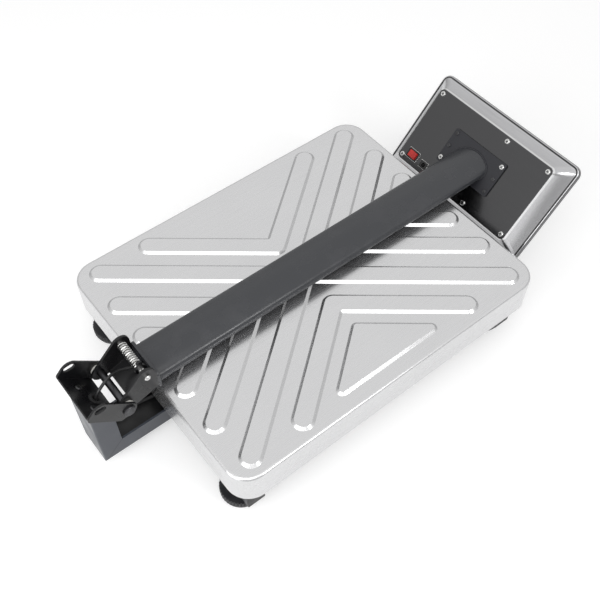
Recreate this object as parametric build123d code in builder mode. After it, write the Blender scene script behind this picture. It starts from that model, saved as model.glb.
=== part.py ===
from build123d import *
from math import atan2, cos, degrees, hypot, radians, sin, tan
import os

os.makedirs("parts", exist_ok=True)

# Folding platform scale with its column folded down over the weighing pan.
# Millimetres, +Z up. The floor under the levelling feet is Z 0, +X runs along the
# column towards the indicator head, and Y 0 is the plane of symmetry of the frame.
# The origin is the middle of the footprint, on the floor.

# Driving dimensions: weighing pan
pan_length = 500.0
pan_width = 400.0
pan_height = 108.0
pan_skirt = 51.0
pan_sheet = 1.2
pan_corner_radius = 32.0
pan_edge_radius = 5.0
rib_width = 30.0
rib_height = 3.0
rib_taper = 52.0
rib_side_inset = 27.0
rib_end_inset = 28.0
cross_rib_offset = 62.0
end_rib_offset = 68.0
end_rib_pitch = 62.0
triangle_offset = 100.0
triangle_inset = 22.0
triangle_corner = 8.0

# Driving dimensions: base frame, carrier and load cell
tube_size = 25.0
tube_wall = 2.0
frame_bottom = 23.0
rear_tube_reach = 224.0
front_tube_reach = 206.0
cross_tube_length = 380.0
rail_centre_width = 90.0
end_cap_flange = 3.0
end_cap_plug = 12.0
cell_plate_thickness = 5.0
cell_plate_length = 60.0
cell_length = 150.0
cell_width = 35.0
cell_height = 35.0
cell_x = -5.0
cell_hole_radius = 11.0
cell_hole_half_pitch = 15.0
cell_bolt_inset = 15.0
cell_bolt_radius = 3.0
spacer_thickness = 5.0
spacer_length = 34.0
carrier_tube = 20.0
carrier_wall = 1.5
carrier_length = 450.0
carrier_centre_width = 274.0
carrier_plate_thickness = 5.0
carrier_plate_length = 40.0
carrier_end_reach = 214.0
pan_pad_radius = 10.0
cell_bolt_y = 9.5
cell_bolt_depth = 10.0
cell_bolt_size = 10.0
cell_bolt_head = 4.0
cell_bolt_cap = 3.0
cell_edge_radius = 1.5
cell_slit = 6.0

# Driving dimensions: levelling feet and stops
foot_inset = 34.0
foot_top_radius = 28.0
foot_bottom_radius = 25.0
foot_height = 18.0
foot_bevel = 8.0
foot_flutes = 40
flute_radius = 1.8
stud_radius = 5.0
stud_clearance = 0.3
stud_length = 46.0
nut_size = 17.0
nut_height = 8.0
stop_radius = 4.0
stop_gap = 1.5
stop_nut_size = 13.0
stop_nut_height = 6.5

# Driving dimensions: folded bracket and hinge
bracket_width = 54.0
bracket_sheet = 3.0
bracket_reach = 342.0
bracket_post_length = 29.0
bracket_foot_reach = 205.0
bracket_flange = 23.5
bracket_bend_radius = 2.5
bracket_bolt_x = 6.0
bracket_bolt_y = 14.0
bracket_bolt_radius = 3.0
bracket_bolt_size = 10.0
bracket_bolt_head = 4.0
bracket_bolt_length = 12.0
hinge_tilt = 45.0
hinge_edge_reach = 344.0
hinge_edge_height = 146.0
hinge_width = 76.0
hinge_sheet = 3.0
hinge_plate_length = 51.0
ear_height = 26.0
ear_corner_radius = 13.0
ear_foot_radius = 6.0
ear_flat_radius = 10.0
ear_end_radius = 11.0
ear_flat_end = 36.0
pivot_along = 53.0
pivot_above = 15.0
slot_along = 6.0
slot_above = 16.5
slot_width = 9.0
slot_length = 15.0
slot_turn = 45.0
cable_hole_along = 33.5
cable_hole_y = -2.0
cable_hole_radius = 7.5
grommet_radius = 9.5
grommet_bore_radius = 5.0
grommet_flange = 1.2
hinge_screw_along = 19.0
hinge_screw_y = 18.0
hinge_screw_radius = 2.5
hinge_screw_head = 4.5
hinge_screw_length = 9.0
pivot_radius = 5.0
pivot_clearance = 0.05
pivot_head_radius = 8.0
pivot_head_height = 3.5
pivot_head_bevel = 1.2
pivot_tail = 4.0
pivot_clip_thickness = 1.2
washer_radius = 10.0

# Driving dimensions: column and its foot
column_width = 60.0
column_depth = 30.0
column_wall = 2.0
column_end_radius = 9.3
column_above_pan = 18.4
column_start_reach = 245.0
end_plate_thickness = 4.0
end_plate_margin = 1.0
end_plate_corner = 6.0
foot_channel_width = 62.0
foot_sheet = 3.0
foot_web_start = 286.0
foot_web_rise = 9.0
foot_lobe_radius = 12.0
tube_hole_radius = 7.0

# Driving dimensions: lock pin and spring
lock_radius = 4.0
lock_clearance = 0.1
lock_tip = 3.5
lock_travel = 5.5
lock_bush_length = 4.0
lock_chamfer = 1.0
collar_radius = 7.5
collar_length = 3.0
tab_length = 15.0
tab_width = 7.0
spring_wire_radius = 0.9
spring_mean_radius = 5.3
spring_turns = 12
spring_turn_steps = 10

# Driving dimensions: indicator head
head_tilt = 48.0
head_reach = 314.0
head_above_pan = 18.4
panel_width = 222.0
panel_height = 121.6
rim_width = 268.0
rim_height = 161.6
shell_depth = 25.0
shell_sheet = 1.2
shell_lip = 7.0
rim_corner_radius = 13.0
panel_corner_radius = 7.0
rim_bead = 3.4
rim_round = 2.0
waist_depth = 12.0
waist_width = 238.0
waist_height = 137.0
waist_corner_radius = 10.0
shell_flare = 1.2
mount_width = 101.0
mount_height = 55.0
mount_thickness = 3.0
mount_screw_x = 45.0
mount_screw_y = 21.0
backing_thickness = 2.0
backing_margin = 4.0
mount_corner_radius = 3.0
screw_end = 2.0
dark_head_radius = 2.9
dark_head_height = 1.6
panel_screw_length = 9.0
panel_screw_x = 104.0
panel_screw_y = 53.8
panel_screw_mid_x = 27.0
screw_radius = 2.0
screw_head_radius = 3.8
screw_head_height = 2.4

# Driving dimensions: front of the head
front_thickness = 3.0
front_edge_bevel = 1.4
front_skirt_depth = 6.0
front_wall = 2.2
boss_radius = 4.0
rest_radius = 3.0
rest_places = [(-92.0, 7.5), (0.0, 7.5), (92.0, 7.5)]
window_margin = 31.0
window_height = 46.0
window_y = 38.0
window_thickness = 2.0
window_ledge = 3.0
window_corner = 2.0
key_corner = 3.0
key_edge_bevel = 0.6
key_width = 28.0
key_height = 18.0
key_stand_out = 1.8
key_flange = 1.2
key_flange_thickness = 1.0
key_columns = 5
key_rows = 2
key_pitch_x = 38.0
key_pitch_y = 29.0
keys_y = -29.0
key_gap = 0.4
key_travel = 1.2
mat_thickness = 2.5
dome_height = 1.8
dome_taper = 30.0
mat_width = 184.0
mat_height = 50.0
board_chip = 22.0
board_chip_height = 3.0
battery_corner = 4.0
dome_radius = 5.0
board_thickness = 1.6
board_width = 190.0
board_height = 116.0
lcd_size = (190.0, 40.0)
battery_size = (44.0, 84.0, 13.0)
battery_offset = (83.0, 0.0)

# Driving dimensions: switch and power socket on the back panel
switch_x = -88.0
switch_y = -45.0
switch_bezel = (21.0, 15.0)
switch_body = (19.0, 13.0)
switch_bezel_height = 1.6
switch_body_depth = 11.0
rocker_length = 16.0
rocker_width = 10.4
rocker_gap = 0.5
rocker_rise = 1.9
rocker_depth = 4.0
rocker_pivot_height = 0.0
rocker_pin_radius = 1.0
rocker_pin_reach = 6.0
switch_pocket_depth = 6.0
switch_corner = 1.5
rocker_swing = 9.0
socket_x = -63.0
socket_y = -47.5
socket_size = (14.0, 11.0)
socket_flange_height = 1.2
socket_depth = 11.0
socket_body = (11.0, 9.0)
socket_bore_depth = 9.5
socket_bore_radius = 3.0
socket_pin_radius = 1.05

# Cable
cable_radius = 2.0
cable_sides = 8
cable_bend_height = 12.0
cable_end_depth = 19.0
cable_lift = 0.6
cable_straight = 36.0
cable_hidden_waves = 5
cable_hidden_side = 3.0
cable_post_rise = 13.5
cable_below_hole = 23.5
cable_above_hole = 9.0
cable_lean = 18.0
cable_over_pivot = 21.0
cable_over_pivot_side = 4.0
cable_past_pivot = 17.0
cable_past_pivot_rise = 11.0
cable_past_pivot_side = 11.0
cable_tube_waves = 9
cable_tube_side = 3.5
cable_tube_end = 33.0
bend_share = 0.45
seat_gap = 0.3


def leaning_reach(edge, depth, bevel):
    """How far along X a bevelled edge of the tilted head stands out from its centre."""
    tilt = radians(head_tilt)
    across = (edge - bevel) * cos(tilt) + depth * sin(tilt)
    along = edge * cos(tilt) + (depth - bevel) * sin(tilt)
    return max(across, along)


# Places worked out from the driving dimensions
head_depth = shell_depth + shell_lip + front_thickness
head_end_reach = head_reach + leaning_reach(rim_height / 2, head_depth, front_edge_bevel)
tilt_cos = cos(radians(hinge_tilt))
tilt_sin = sin(radians(hinge_tilt))
hinge_end_reach = hinge_edge_reach + hinge_sheet
pan_x = (hinge_end_reach - head_end_reach) / 2

pan_inside = pan_height - pan_sheet
frame_top = frame_bottom + tube_size
frame_mid = frame_bottom + tube_size / 2
rear_tube_x = pan_x - rear_tube_reach
front_tube_x = pan_x + front_tube_reach
foot_y = cross_tube_length / 2 - foot_inset
cell_bottom = frame_top + cell_plate_thickness + spacer_thickness
cell_top = cell_bottom + cell_height
carrier_top = cell_top + spacer_thickness + carrier_plate_thickness
carrier_bottom = carrier_top - carrier_tube
carrier_y = carrier_centre_width / 2
cell_fixed_x = pan_x + cell_x - cell_length / 2 + cell_bolt_inset
cell_live_x = pan_x + cell_x + cell_length / 2 - cell_bolt_inset

hinge_plane = Plane(
    origin=(pan_x - hinge_edge_reach, 0, hinge_edge_height),
    x_dir=(tilt_cos, 0, -tilt_sin),
    z_dir=(0, -1, 0),
)
hinge_face = Plane(hinge_plane.origin, x_dir=hinge_plane.x_dir, z_dir=hinge_plane.y_dir)


def hinge_point(along, above):
    """X and Z of a point given along the tilted hinge plate and above its face."""
    point = hinge_plane.from_local_coords(Vector(along, above, 0))
    return point.X, point.Z


pivot_x, pivot_z = hinge_point(pivot_along, pivot_above)
locked_x, locked_z = hinge_point(slot_along, slot_above)
# Folding the column down turns the locked pin a quarter turn about the pivot
lock_x = pivot_x + (locked_z - pivot_z)
lock_z = pivot_z - (locked_x - pivot_x)

column_z = pan_height + column_above_pan
column_start = pan_x - column_start_reach
end_plate_x = column_start - end_plate_thickness
end_plate_bottom = column_z - column_depth / 2 - end_plate_margin
end_plate_height = column_depth + 2 * end_plate_margin
foot_y_outer = foot_channel_width / 2
foot_y_inner = foot_y_outer - foot_sheet
ear_y_outer = hinge_width / 2
ear_y_inner = ear_y_outer - hinge_sheet

head_normal = (-sin(radians(head_tilt)), 0, cos(radians(head_tilt)))
head_centre = Vector(pan_x + head_reach, 0, pan_height + head_above_pan)
rear_plane = Plane(origin=head_centre, x_dir=(0, -1, 0), z_dir=head_normal)
front_outer = shell_depth + shell_lip
front_origin = head_centre - rear_plane.z_dir * front_outer
front_plane = Plane(origin=front_origin, x_dir=(0, 1, 0), z_dir=-rear_plane.z_dir)

panel_screws = [
    (-panel_screw_x, -panel_screw_y),
    (-panel_screw_x, panel_screw_y),
    (panel_screw_x, -panel_screw_y),
    (panel_screw_x, panel_screw_y),
    (panel_screw_mid_x, -panel_screw_y),
    (panel_screw_mid_x, panel_screw_y),
]
bright_screws = [(-mount_screw_x, -mount_screw_y), (mount_screw_x, mount_screw_y)]
hinge_screw_places = [
    (hinge_screw_along, -hinge_screw_y),
    (hinge_screw_along, hinge_screw_y),
]
dark_screws = [
    (-mount_screw_x, mount_screw_y),
    (mount_screw_x, -mount_screw_y),
    (-mount_screw_x, 0),
    (mount_screw_x, 0),
]


def rib_arms(width):
    """Sketch the embossed pattern: nested V ribs along the pan's diagonals."""
    slope = pan_width / pan_length
    angle = degrees(atan2(pan_width, pan_length))
    cross_y = pan_width / 2 - rib_end_inset
    end_x = pan_length / 2 - rib_side_inset
    arms = []
    diagonal_x = cross_y / slope
    arms.append(((0, 0), (diagonal_x, cross_y)))
    arms.append(((0, cross_rib_offset), ((cross_y - cross_rib_offset) / slope, cross_y)))
    for step in range(2):
        offset_y = end_rib_offset + step * end_rib_pitch
        arms.append(((offset_y / slope, 0), (end_x, end_x * slope - offset_y)))
    for (start_x, start_y), (stop_x, stop_y) in arms:
        length = hypot(stop_x - start_x, stop_y - start_y)
        middle_x = (start_x + stop_x) / 2
        middle_y = (start_y + stop_y) / 2
        for side_x in (-1, 1):
            for side_y in (-1, 1):
                with Locations((side_x * middle_x, side_y * middle_y)):
                    SlotCenterToCenter(length, width, rotation=side_x * side_y * angle)


def rib_triangles(base_z):
    """The two flat triangles at the middle of the long edges, with rounded corners."""
    slope = pan_width / pan_length
    edge_y = pan_width / 2 - triangle_inset
    tip_y = triangle_offset
    half = (edge_y - tip_y) / slope
    with BuildSketch(Plane((pan_x, 0, base_z))) as triangles:
        for side in (-1, 1):
            Polygon((-half, side * edge_y), (half, side * edge_y), (0, side * tip_y), align=None)
        fillet(triangles.vertices(), triangle_corner)
    return triangles.sketch


def raised_ribs(base_z):
    """The embossed pattern as a solid standing on a level, with sloping sides."""
    with BuildPart() as pattern:
        with BuildSketch(Plane((pan_x, 0, base_z))):
            rib_arms(rib_width)
        extrude(amount=rib_height, taper=rib_taper)
        extrude(rib_triangles(base_z), amount=rib_height, taper=rib_taper)
    return pattern.part


def pan_block(inset, edge_radius):
    """The outline of the pan drawn in by a distance, open side down."""
    with BuildPart() as block:
        with BuildSketch(Plane((pan_x, 0, pan_height - pan_skirt))):
            RectangleRounded(
                pan_length - 2 * inset, pan_width - 2 * inset, pan_corner_radius - inset
            )
        extrude(amount=pan_skirt - inset)
        fillet(block.faces().sort_by(Axis.Z)[-1].edges(), edge_radius)
    return block.part


def oval_outline(plane, half_width, half_depth, end_radius):
    """A four-arc oval: flat arcs above and below, blended into round ends."""
    reach = half_width - end_radius
    side_radius = (reach**2 + half_depth**2 - end_radius**2) / (2 * (half_depth - end_radius))
    with BuildSketch(plane) as outline:
        with Locations((0, half_depth - side_radius)):
            Circle(side_radius)
        with Locations((0, side_radius - half_depth)):
            Circle(side_radius, mode=Mode.INTERSECT)
        fillet(outline.vertices(), end_radius)
    return outline.sketch


def square_tubes(places, length, size, wall, direction):
    """Square tubes of one length, lying along X or Y, centred on the given places."""
    box_x, box_y = (length, size) if direction == "X" else (size, length)
    bore_x, bore_y = (length, size - 2 * wall) if direction == "X" else (size - 2 * wall, length)
    with BuildPart() as tubes:
        with Locations(*places):
            Box(box_x, box_y, size)
        with Locations(*places):
            Box(bore_x, bore_y, size - 2 * wall, mode=Mode.SUBTRACT)
    return tubes.part


def round_holes(face_plane, places, radius, depth):
    """Cut round holes into the part being built, from a plane downwards."""
    with BuildSketch(face_plane) as rounds:
        with Locations(*places):
            Circle(radius)
    extrude(rounds.sketch, amount=-depth, mode=Mode.SUBTRACT)


def bevelled_screws(face_plane, places, head_radius, head_height, shank_radius, shank_length):
    """Pan-head screws standing on a plane, with their shanks below it."""
    with BuildPart() as screws:
        with BuildSketch(face_plane):
            with Locations(*places):
                Circle(head_radius)
        extrude(amount=head_height)
        upward = Axis(face_plane.origin, face_plane.z_dir)
        tops = screws.faces().filter_by(face_plane).sort_by(upward)[-len(places):]
        chamfer(tops.edges(), head_height / 3)
        with BuildSketch(face_plane):
            with Locations(*places):
                Circle(shank_radius)
        extrude(amount=-shank_length)
    return screws.part


def hex_bolts(face_plane, places, across_flats, head_height, shank_radius, shank_length):
    """Hexagon-head bolts: heads stand on a plane, shanks go down from it."""
    with BuildPart() as bolts:
        with BuildSketch(face_plane):
            with Locations(*places):
                RegularPolygon(across_flats / 2, 6, major_radius=False)
        extrude(amount=head_height)
        with BuildSketch(face_plane):
            with Locations(*places):
                Circle(shank_radius)
        extrude(amount=-shank_length)
    return bolts.part


# Weighing pan: a drawn stainless tray, open below, with the pattern pressed into its top
with BuildPart() as weighing_pan:
    add(pan_block(0, pan_edge_radius))
    add(raised_ribs(pan_height))
    add(pan_block(pan_sheet, pan_edge_radius - pan_sheet), mode=Mode.SUBTRACT)
    add(raised_ribs(pan_inside), mode=Mode.SUBTRACT)
weighing_pan.part.label = "weighing_pan"
export_step(weighing_pan.part, "parts/weighing_pan.step")

# Base frame: two cross tubes on the feet, two rails between them
cross_places = [(rear_tube_x, 0, frame_mid), (front_tube_x, 0, frame_mid)]
foot_places = []
for tube_x in (rear_tube_x, front_tube_x):
    for side in (-1, 1):
        foot_places.append((tube_x, side * foot_y))
stop_places = []
for tube_x in (rear_tube_x, front_tube_x):
    for side in (-1, 1):
        stop_places.append((tube_x, side * carrier_y))
bracket_bolt_places = []
for side_x in (-1, 1):
    for side_y in (-1, 1):
        place = (rear_tube_x + side_x * bracket_bolt_x, side_y * bracket_bolt_y)
        bracket_bolt_places.append(place)
bare_tube_length = cross_tube_length - 2 * end_cap_flange

with BuildPart() as base_cross_tubes:
    add(square_tubes(cross_places, bare_tube_length, tube_size, tube_wall, "Y"))
    round_holes(Plane.XY.offset(frame_top), foot_places, stud_radius + stud_clearance, tube_size)
    round_holes(Plane.XY.offset(frame_top), stop_places, stop_radius, tube_size / 2)
    round_holes(
        Plane.XY.offset(frame_mid), bracket_bolt_places, bracket_bolt_radius, tube_size / 2
    )
base_cross_tubes.part.label = "base_cross_tubes"
export_step(base_cross_tubes.part, "parts/base_cross_tubes.step")

rail_length = front_tube_x - rear_tube_x - tube_size
rail_x = (front_tube_x + rear_tube_x) / 2
rail_places = [(rail_x, side * rail_centre_width / 2, frame_mid) for side in (-1, 1)]
with BuildPart() as base_rails:
    add(square_tubes(rail_places, rail_length, tube_size, tube_wall, "X"))
base_rails.part.label = "base_rails"
export_step(base_rails.part, "parts/base_rails.step")

# Levelling feet: a fluted knob under a threaded stud, one node each, and their nuts
for number, (foot_x, foot_side_y) in enumerate(foot_places, start=1):
    with BuildPart() as levelling_foot:
        with BuildSketch(Plane((foot_x, foot_side_y, 0))):
            Circle(foot_bottom_radius)
        with BuildSketch(Plane((foot_x, foot_side_y, foot_bevel))):
            Circle(foot_top_radius)
        loft()
        with BuildSketch(Plane((foot_x, foot_side_y, foot_bevel))):
            Circle(foot_top_radius)
        extrude(amount=foot_height - foot_bevel)
        with BuildSketch(Plane((foot_x, foot_side_y, foot_height))):
            with PolarLocations(foot_top_radius, foot_flutes):
                RegularPolygon(flute_radius, 4)
        extrude(amount=-foot_height, mode=Mode.SUBTRACT)
        with BuildSketch(Plane((foot_x, foot_side_y, foot_height))):
            Circle(stud_radius)
        extrude(amount=stud_length)
    levelling_foot.part.label = f"levelling_foot_{number}"
    export_step(levelling_foot.part, f"parts/levelling_foot_{number}.step")

with BuildPart() as foot_nuts:
    with BuildSketch(Plane.XY.offset(frame_top)):
        with Locations(*foot_places):
            RegularPolygon(nut_size / 2, 6, major_radius=False)
        with Locations(*foot_places):
            Circle(stud_radius + stud_clearance, mode=Mode.SUBTRACT)
    extrude(amount=nut_height)
foot_nuts.part.label = "foot_nuts"
export_step(foot_nuts.part, "parts/foot_nuts.step")

# Overload stops: bolts standing just under the carrier tubes
stop_top = carrier_bottom - stop_gap
with BuildPart() as overload_stops:
    with BuildSketch(Plane.XY.offset(frame_mid)):
        with Locations(*stop_places):
            Circle(stop_radius)
    extrude(amount=stop_top - frame_mid)
    with BuildSketch(Plane.XY.offset(frame_top)):
        with Locations(*stop_places):
            RegularPolygon(stop_nut_size / 2, 6, major_radius=False)
    extrude(amount=stop_nut_height)
overload_stops.part.label = "overload_stops"
export_step(overload_stops.part, "parts/overload_stops.step")

# Load cell between the base frame and the carrier
cell_bolt_places = []
for side in (-1, 1):
    cell_bolt_places.append((cell_fixed_x, side * cell_bolt_y))
live_bolt_places = []
for side in (-1, 1):
    live_bolt_places.append((cell_live_x, side * cell_bolt_y))
cell_mid_x = pan_x + cell_x

with BuildPart() as cell_plate:
    with Locations((cell_fixed_x, 0, frame_top + cell_plate_thickness / 2)):
        Box(cell_plate_length, rail_centre_width + tube_size, cell_plate_thickness)
    round_holes(Plane.XY.offset(cell_bottom), cell_bolt_places, cell_bolt_radius, cell_bottom)
cell_plate.part.label = "cell_plate"
export_step(cell_plate.part, "parts/cell_plate.step")

with BuildPart() as load_cell:
    with Locations((cell_mid_x, 0, cell_bottom + cell_height / 2)):
        Box(cell_length, cell_width, cell_height)
    fillet(load_cell.edges().filter_by(Axis.X), cell_edge_radius)
    with BuildSketch(Plane.XZ):
        with Locations((cell_mid_x, cell_bottom + cell_height / 2)):
            Rectangle(2 * cell_hole_half_pitch, cell_slit)
        for side in (-1, 1):
            hole_x = cell_mid_x + side * cell_hole_half_pitch
            with Locations((hole_x, cell_bottom + cell_height / 2)):
                Circle(cell_hole_radius)
    extrude(amount=cell_width, both=True, mode=Mode.SUBTRACT)
    round_holes(
        Plane.XY.offset(cell_bottom + cell_bolt_depth), cell_bolt_places, cell_bolt_radius,
        cell_bolt_depth,
    )
    round_holes(Plane.XY.offset(cell_top), live_bolt_places, cell_bolt_radius, cell_bolt_depth)
load_cell.part.label = "load_cell"
export_step(load_cell.part, "parts/load_cell.step")

with BuildPart() as cell_spacers:
    with Locations((cell_fixed_x, 0, cell_bottom - spacer_thickness / 2)):
        Box(spacer_length, cell_width, spacer_thickness)
    with Locations((cell_live_x, 0, cell_top + spacer_thickness / 2)):
        Box(spacer_length, cell_width, spacer_thickness)
    spacer_holes = cell_bolt_places + live_bolt_places
    round_holes(Plane.XY.offset(pan_height), spacer_holes, cell_bolt_radius, pan_height)
cell_spacers.part.label = "cell_spacers"
export_step(cell_spacers.part, "parts/cell_spacers.step")

with BuildPart() as cell_bolts:
    below_plate = Plane((0, 0, frame_top), x_dir=(1, 0, 0), z_dir=(0, 0, -1))
    lower_shank = cell_plate_thickness + spacer_thickness + cell_bolt_depth
    add(
        hex_bolts(
            below_plate, cell_bolt_places, cell_bolt_size, cell_bolt_head, cell_bolt_radius,
            lower_shank,
        )
    )
    upper_shank = carrier_plate_thickness + spacer_thickness + cell_bolt_depth
    add(
        hex_bolts(
            Plane.XY.offset(carrier_top), live_bolt_places, cell_bolt_size, cell_bolt_cap,
            cell_bolt_radius, upper_shank,
        )
    )
cell_bolts.part.label = "cell_bolts"
export_step(cell_bolts.part, "parts/cell_bolts.step")

# Carrier: the upper frame on the live end of the cell, with pads under the pan
carrier_mid = carrier_top - carrier_tube / 2
long_places = [(pan_x, side * carrier_y, carrier_mid) for side in (-1, 1)]
with BuildPart() as carrier_long_tubes:
    add(square_tubes(long_places, carrier_length, carrier_tube, carrier_wall, "X"))
carrier_long_tubes.part.label = "carrier_long_tubes"
export_step(carrier_long_tubes.part, "parts/carrier_long_tubes.step")

# End caps: a flange on each open tube end with a plug inside the tube
with BuildPart() as tube_end_caps:
    for tube_x in (rear_tube_x, front_tube_x):
        for side in (-1, 1):
            with Locations((tube_x, side * (cross_tube_length - end_cap_flange) / 2, frame_mid)):
                Box(tube_size, end_cap_flange, tube_size)
            plug_y = side * (bare_tube_length - end_cap_plug) / 2
            plug_size = tube_size - 2 * tube_wall
            with Locations((tube_x, plug_y, frame_mid)):
                Box(plug_size, end_cap_plug, plug_size)
    for side_x in (-1, 1):
        for side_y in (-1, 1):
            cap_x = pan_x + side_x * (carrier_length + end_cap_flange) / 2
            with Locations((cap_x, side_y * carrier_y, carrier_mid)):
                Box(end_cap_flange, carrier_tube, carrier_tube)
            plug_x = pan_x + side_x * (carrier_length - end_cap_plug) / 2
            plug_size = carrier_tube - 2 * carrier_wall
            with Locations((plug_x, side_y * carrier_y, carrier_mid)):
                Box(end_cap_plug, plug_size, plug_size)
tube_end_caps.part.label = "tube_end_caps"
export_step(tube_end_caps.part, "parts/tube_end_caps.step")

beam_offset = (carrier_plate_length + carrier_tube) / 2
carrier_cross_x = [
    pan_x - carrier_end_reach,
    cell_live_x + beam_offset,
    pan_x + carrier_end_reach,
]
carrier_cross_length = carrier_centre_width - carrier_tube
with BuildPart() as carrier_cross_tubes:
    places = [(x, 0, carrier_mid) for x in carrier_cross_x]
    add(square_tubes(places, carrier_cross_length, carrier_tube, carrier_wall, "Y"))
carrier_cross_tubes.part.label = "carrier_cross_tubes"
export_step(carrier_cross_tubes.part, "parts/carrier_cross_tubes.step")

with BuildPart() as carrier_plate:
    with Locations((cell_live_x, 0, carrier_top - carrier_plate_thickness / 2)):
        Box(carrier_plate_length, carrier_cross_length, carrier_plate_thickness)
    round_holes(Plane.XY.offset(carrier_top), live_bolt_places, cell_bolt_radius, carrier_tube)
carrier_plate.part.label = "carrier_plate"
export_step(carrier_plate.part, "parts/carrier_plate.step")

with BuildPart() as pan_pads:
    with BuildSketch(Plane.XY.offset(carrier_top)):
        for side_x in (-1, 1):
            for side_y in (-1, 1):
                with Locations((pan_x + side_x * carrier_end_reach, side_y * carrier_y)):
                    Circle(pan_pad_radius)
    extrude(amount=pan_inside - carrier_top)
pan_pads.part.label = "pan_pads"
export_step(pan_pads.part, "parts/pan_pads.step")

# Base bracket: folded steel channel reaching out from under the rear tube to the hinge
bracket_end = pan_x - bracket_reach
post_front = bracket_end + bracket_post_length
tube_rear_face = rear_tube_x - tube_size / 2
under_plate = hinge_point(0, -hinge_sheet)
plate_sum = under_plate[0] + under_plate[1]
bracket_bottom = frame_bottom - bracket_sheet
flange_tip = hinge_point(bracket_flange, 0)
flange_under = hinge_point(bracket_flange, -hinge_sheet - bracket_sheet)
flange_sum = flange_under[0] + flange_under[1]
clear_above = hinge_point(pivot_along, 0)
with BuildPart() as base_bracket:
    with BuildSketch(Plane.XZ):
        with BuildLine():
            Polyline(
                (bracket_end, bracket_bottom),
                (pan_x - bracket_foot_reach, bracket_bottom),
                (pan_x - bracket_foot_reach, frame_bottom),
                (tube_rear_face, frame_bottom),
                (tube_rear_face, frame_top),
                (post_front, frame_top),
                (post_front, plate_sum - post_front),
                (bracket_end, plate_sum - bracket_end),
                close=True,
            )
        make_face()
    extrude(amount=bracket_width / 2, both=True)
    bottom_bends = base_bracket.edges().filter_by(Axis.X).group_by(Axis.Z)[0]
    end_bends = base_bracket.edges().filter_by(Axis.Z).group_by(Axis.X)[0]
    fillet(bottom_bends + end_bends, bracket_bend_radius)
    with BuildSketch(Plane.XZ):
        with BuildLine():
            Polyline(
                (bracket_end + bracket_sheet, frame_bottom),
                (tube_rear_face + bracket_sheet, frame_bottom),
                (tube_rear_face + bracket_sheet, pan_height - pan_skirt),
                (clear_above[0], pan_height - pan_skirt),
                clear_above,
                flange_tip,
                flange_under,
                (bracket_end + bracket_sheet, flange_sum - bracket_end - bracket_sheet),
                close=True,
            )
        make_face()
    extrude(amount=bracket_width / 2 - bracket_sheet, both=True, mode=Mode.SUBTRACT)
    round_holes(
        Plane.XY.offset(frame_bottom), bracket_bolt_places, bracket_bolt_radius, bracket_sheet
    )
    round_holes(
        hinge_face, hinge_screw_places, hinge_screw_radius, hinge_screw_length
    )
base_bracket.part.label = "base_bracket"
export_step(base_bracket.part, "parts/base_bracket.step")

below_web = Plane((0, 0, bracket_bottom), x_dir=(1, 0, 0), z_dir=(0, 0, -1))
below_places = [(x, -y) for x, y in bracket_bolt_places]
with BuildPart() as bracket_bolts:
    add(
        hex_bolts(
            below_web, below_places, bracket_bolt_size, bracket_bolt_head, bracket_bolt_radius,
            bracket_bolt_length,
        )
    )
bracket_bolts.part.label = "bracket_bolts"
export_step(bracket_bolts.part, "parts/bracket_bolts.step")

# Hinge bracket: a tilted channel with two ears, welded and screwed onto the post
with BuildPart() as hinge_bracket:
    with BuildSketch(hinge_plane):
        with Locations((ear_foot_radius - hinge_sheet, ear_foot_radius - hinge_sheet)):
            Circle(ear_foot_radius)
        with Locations((ear_corner_radius - hinge_sheet, ear_height - ear_corner_radius)):
            Circle(ear_corner_radius)
        with Locations((ear_flat_end, ear_height - ear_flat_radius)):
            Circle(ear_flat_radius)
        with Locations((hinge_plate_length, 0)):
            Circle(hinge_sheet)
        with Locations((pivot_along, pivot_above)):
            Circle(ear_end_radius)
        make_hull()
    extrude(amount=ear_y_outer, both=True)
    with BuildSketch(hinge_plane):
        with Locations((hinge_plate_length / 2, ear_height)):
            Rectangle(2 * hinge_plate_length, 2 * ear_height)
        with Locations((-hinge_plate_length / 2, 0)):
            Rectangle(hinge_plate_length, 2 * ear_height)
        with Locations((hinge_plate_length * 3 / 2, 0)):
            Rectangle(hinge_plate_length, 2 * ear_height)
    extrude(amount=ear_y_inner, both=True, mode=Mode.SUBTRACT)
    with BuildSketch(hinge_plane):
        with Locations((pivot_along, pivot_above)):
            Circle(pivot_radius)
        with Locations((slot_along, slot_above)):
            SlotOverall(slot_length, slot_width, rotation=slot_turn)
    extrude(amount=ear_y_outer, both=True, mode=Mode.SUBTRACT)
    round_holes(hinge_face, hinge_screw_places, hinge_screw_radius, hinge_sheet)
    round_holes(hinge_face, [(cable_hole_along, cable_hole_y)], cable_hole_radius, hinge_sheet)
hinge_bracket.part.label = "hinge_bracket"
export_step(hinge_bracket.part, "parts/hinge_bracket.step")

with BuildPart() as hinge_screws:
    add(
        bevelled_screws(
            hinge_face, hinge_screw_places, hinge_screw_head, screw_head_height,
            hinge_screw_radius, hinge_screw_length,
        )
    )
hinge_screws.part.label = "hinge_screws"
export_step(hinge_screws.part, "parts/hinge_screws.step")

with BuildPart() as cable_grommet:
    for level, radius, height in (
        (grommet_flange, grommet_radius, grommet_flange),
        (0, cable_hole_radius, hinge_sheet),
        (-hinge_sheet, grommet_radius, grommet_flange),
    ):
        with BuildSketch(hinge_face.offset(level)):
            with Locations((cable_hole_along, cable_hole_y)):
                Circle(radius)
        extrude(amount=-height)
    round_holes(
        hinge_face.offset(grommet_flange), [(cable_hole_along, cable_hole_y)],
        grommet_bore_radius, pan_height,
    )
cable_grommet.part.label = "cable_grommet"
export_step(cable_grommet.part, "parts/cable_grommet.step")

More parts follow.
